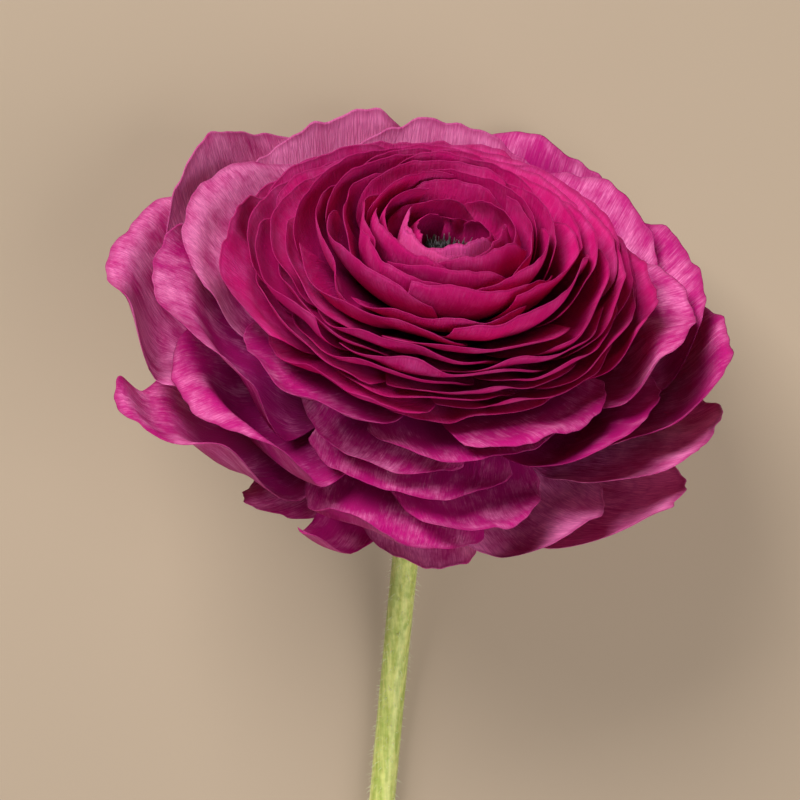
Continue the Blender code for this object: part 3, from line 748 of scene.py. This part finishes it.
def stem_frames(steps):
    """Centres, radii and two directions across, from the receptacle's top to the cut."""
    facing = bloom_axes()[:, 2]
    heights = RECEPTACLE_RADIUS * np.cos(np.radians(np.linspace(8, 122, 18)))
    middles = [HEAD_AT + facing * h for h in heights]
    radii = [sqrt(RECEPTACLE_RADIUS ** 2 - h ** 2) for h in heights]
    near = NECK_BELOW * facing[1]
    along = near + (STEM_LENGTH_ALONG - near) * np.linspace(0, 1, steps) ** 1.1
    below = np.array([NECK_AT, 0.5 * (NECK_AT + NECK_BELOW)])
    middles += [HEAD_AT - facing * b for b in below]
    radii += [NECK_RADIUS, NECK_RADIUS * 0.95]
    middles += list(stem_centre(along))
    radii += [STEM_RADIUS * 1.06] + [STEM_RADIUS * 0.985] * (steps - 1)
    middles, radii = np.array(middles), np.array(radii)
    ahead = np.gradient(middles, axis=0)
    ahead /= np.linalg.norm(ahead, axis=1)[:, None]
    ahead[:-steps] = -facing
    right = np.cross(ahead, [0, 0, 1.0])
    right /= np.linalg.norm(right, axis=1)[:, None]
    return middles, radii, right, np.cross(ahead, right)


def build_stem():
    """The stem with the receptacle as one ribbed tube, and the fine hairs on it."""
    rng = np.random.default_rng(STEM_SEED)
    skin = green_skin("stem_tissue", (0.29, 0.37, 0.05), (0.64, 0.66, 0.20), 0.5)
    fuzz = plain_skin("stem_hair", (0.55, 0.60, 0.34), (0.75, 0.78, 0.52), 400.0, 0.6)
    middles, radii, right, up = stem_frames(STEM_RINGS)
    around = np.arange(STEM_SIDES) * 2 * pi / STEM_SIDES
    ribs = 1 + 0.012 * np.cos(8 * around) + 0.006 * np.cos(13 * around + 1)
    wide = (radii[:, None] * ribs)[..., None]
    rings = middles[:, None, :] + wide * (np.cos(around)[:, None] * right[:, None, :]
                                          + np.sin(around)[:, None] * up[:, None, :])
    number = np.arange(rings.shape[0] * STEM_SIDES).reshape(-1, STEM_SIDES)
    after = np.roll(number, -1, axis=1)
    faces = np.stack([number[:-1], after[:-1], after[1:], number[1:]], -1).reshape(-1, 4).tolist()
    faces += [number[0, ::-1].tolist(), number[-1].tolist()]
    new_piece("fine_stem", rings.reshape(-1, 3), faces, skin, ["stem"])

    ring = rng.integers(FIRST_HAIR_RING, len(middles) - 1, STEM_HAIRS)
    side = rng.uniform(0, 2 * pi, STEM_HAIRS)
    out = np.cos(side)[:, None] * right[ring] + np.sin(side)[:, None] * up[ring]
    ahead = middles[ring] - middles[ring - 1]
    slide = rng.uniform(0, 1, STEM_HAIRS)[:, None]
    foot = middles[ring] - ahead * slide + out * radii[ring][:, None] * 0.97
    ahead /= np.linalg.norm(ahead, axis=1)[:, None]
    lean = out + 0.6 * ahead * rng.uniform(-0.2, 1.0, STEM_HAIRS)[:, None] + rng.normal(0, 0.15, out.shape)
    size = rng.uniform(0.4, 1.0, STEM_HAIRS)[:, None, None]
    s = np.linspace(0, 1, len(HAIR_RADII))[None, :, None]
    paths = foot[:, None, :] + size * (s * lean[:, None, :] + 0.25 * s * s * ahead[:, None, :])
    paths = paths[paths[..., 2].min(axis=1) > 0.1]
    points, faces, _ = tubes(paths, np.array(HAIR_RADII), 4)
    new_piece("stem_hairs", points, faces, fuzz)


def build_floor():
    mesh = bpy.data.meshes.new("floor")
    corners = [(-FLOOR_HALF, -FLOOR_HALF, 0), (FLOOR_HALF, -FLOOR_HALF, 0),
               (FLOOR_HALF, FLOOR_HALF, 0), (-FLOOR_HALF, FLOOR_HALF, 0)]
    mesh.from_pydata(corners, [], [(0, 1, 2, 3)])
    paper = plain_skin("floor_paper", (0.235, 0.182, 0.130), (0.26, 0.202, 0.146), 6.0, 0.9, FLOOR_GLOW)
    mesh.materials.append(paper)
    floor = bpy.data.objects.new("floor", mesh)
    bpy.context.scene.collection.objects.link(floor)


def area_light(name, offset, size, power, colour):
    """A square soft light, that far from the bloom in metres, turned to it."""
    lamp = bpy.data.lights.new(name, "AREA")
    lamp.shape = "SQUARE"
    lamp.size = size
    lamp.energy = power
    lamp.color = colour
    holder = bpy.data.objects.new(name, lamp)
    offset = Vector(offset)
    holder.location = Vector((HEAD_AT * MM).tolist()) + offset
    holder.rotation_euler = (-offset).to_track_quat("-Z", "Y").to_euler()
    bpy.context.scene.collection.objects.link(holder)


def build_light():
    for name, settings in LIGHTS.items():
        area_light(name, *settings)
    world = bpy.data.worlds.new("studio")
    world.use_nodes = True
    sky = world.node_tree.nodes["Background"]
    sky.inputs["Color"].default_value = SKY_COLOUR
    sky.inputs["Strength"].default_value = SKY_STRENGTH
    scene = bpy.context.scene
    scene.world = world
    scene.view_settings.view_transform = "Standard"
    scene.view_settings.look = "None"


def build_camera():
    lens = bpy.data.cameras.new("camera")
    lens.lens = CAMERA_LENS
    lens.sensor_width = 36
    lens.clip_start, lens.clip_end = 0.05, 10
    camera = bpy.data.objects.new("camera", lens)
    camera.location = (HEAD_AT + CAMERA_FROM_BLOOM) * MM
    bpy.context.scene.collection.objects.link(camera)
    bpy.context.scene.camera = camera


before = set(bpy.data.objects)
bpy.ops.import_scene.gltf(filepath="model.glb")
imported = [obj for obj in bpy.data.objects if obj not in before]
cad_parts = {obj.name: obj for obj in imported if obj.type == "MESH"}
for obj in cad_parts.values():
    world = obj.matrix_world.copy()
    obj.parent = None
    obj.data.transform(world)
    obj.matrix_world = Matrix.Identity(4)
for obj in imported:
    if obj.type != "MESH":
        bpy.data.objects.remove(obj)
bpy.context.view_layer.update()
build_petals()
build_eye()
build_stem()
build_floor()
build_light()
build_camera()
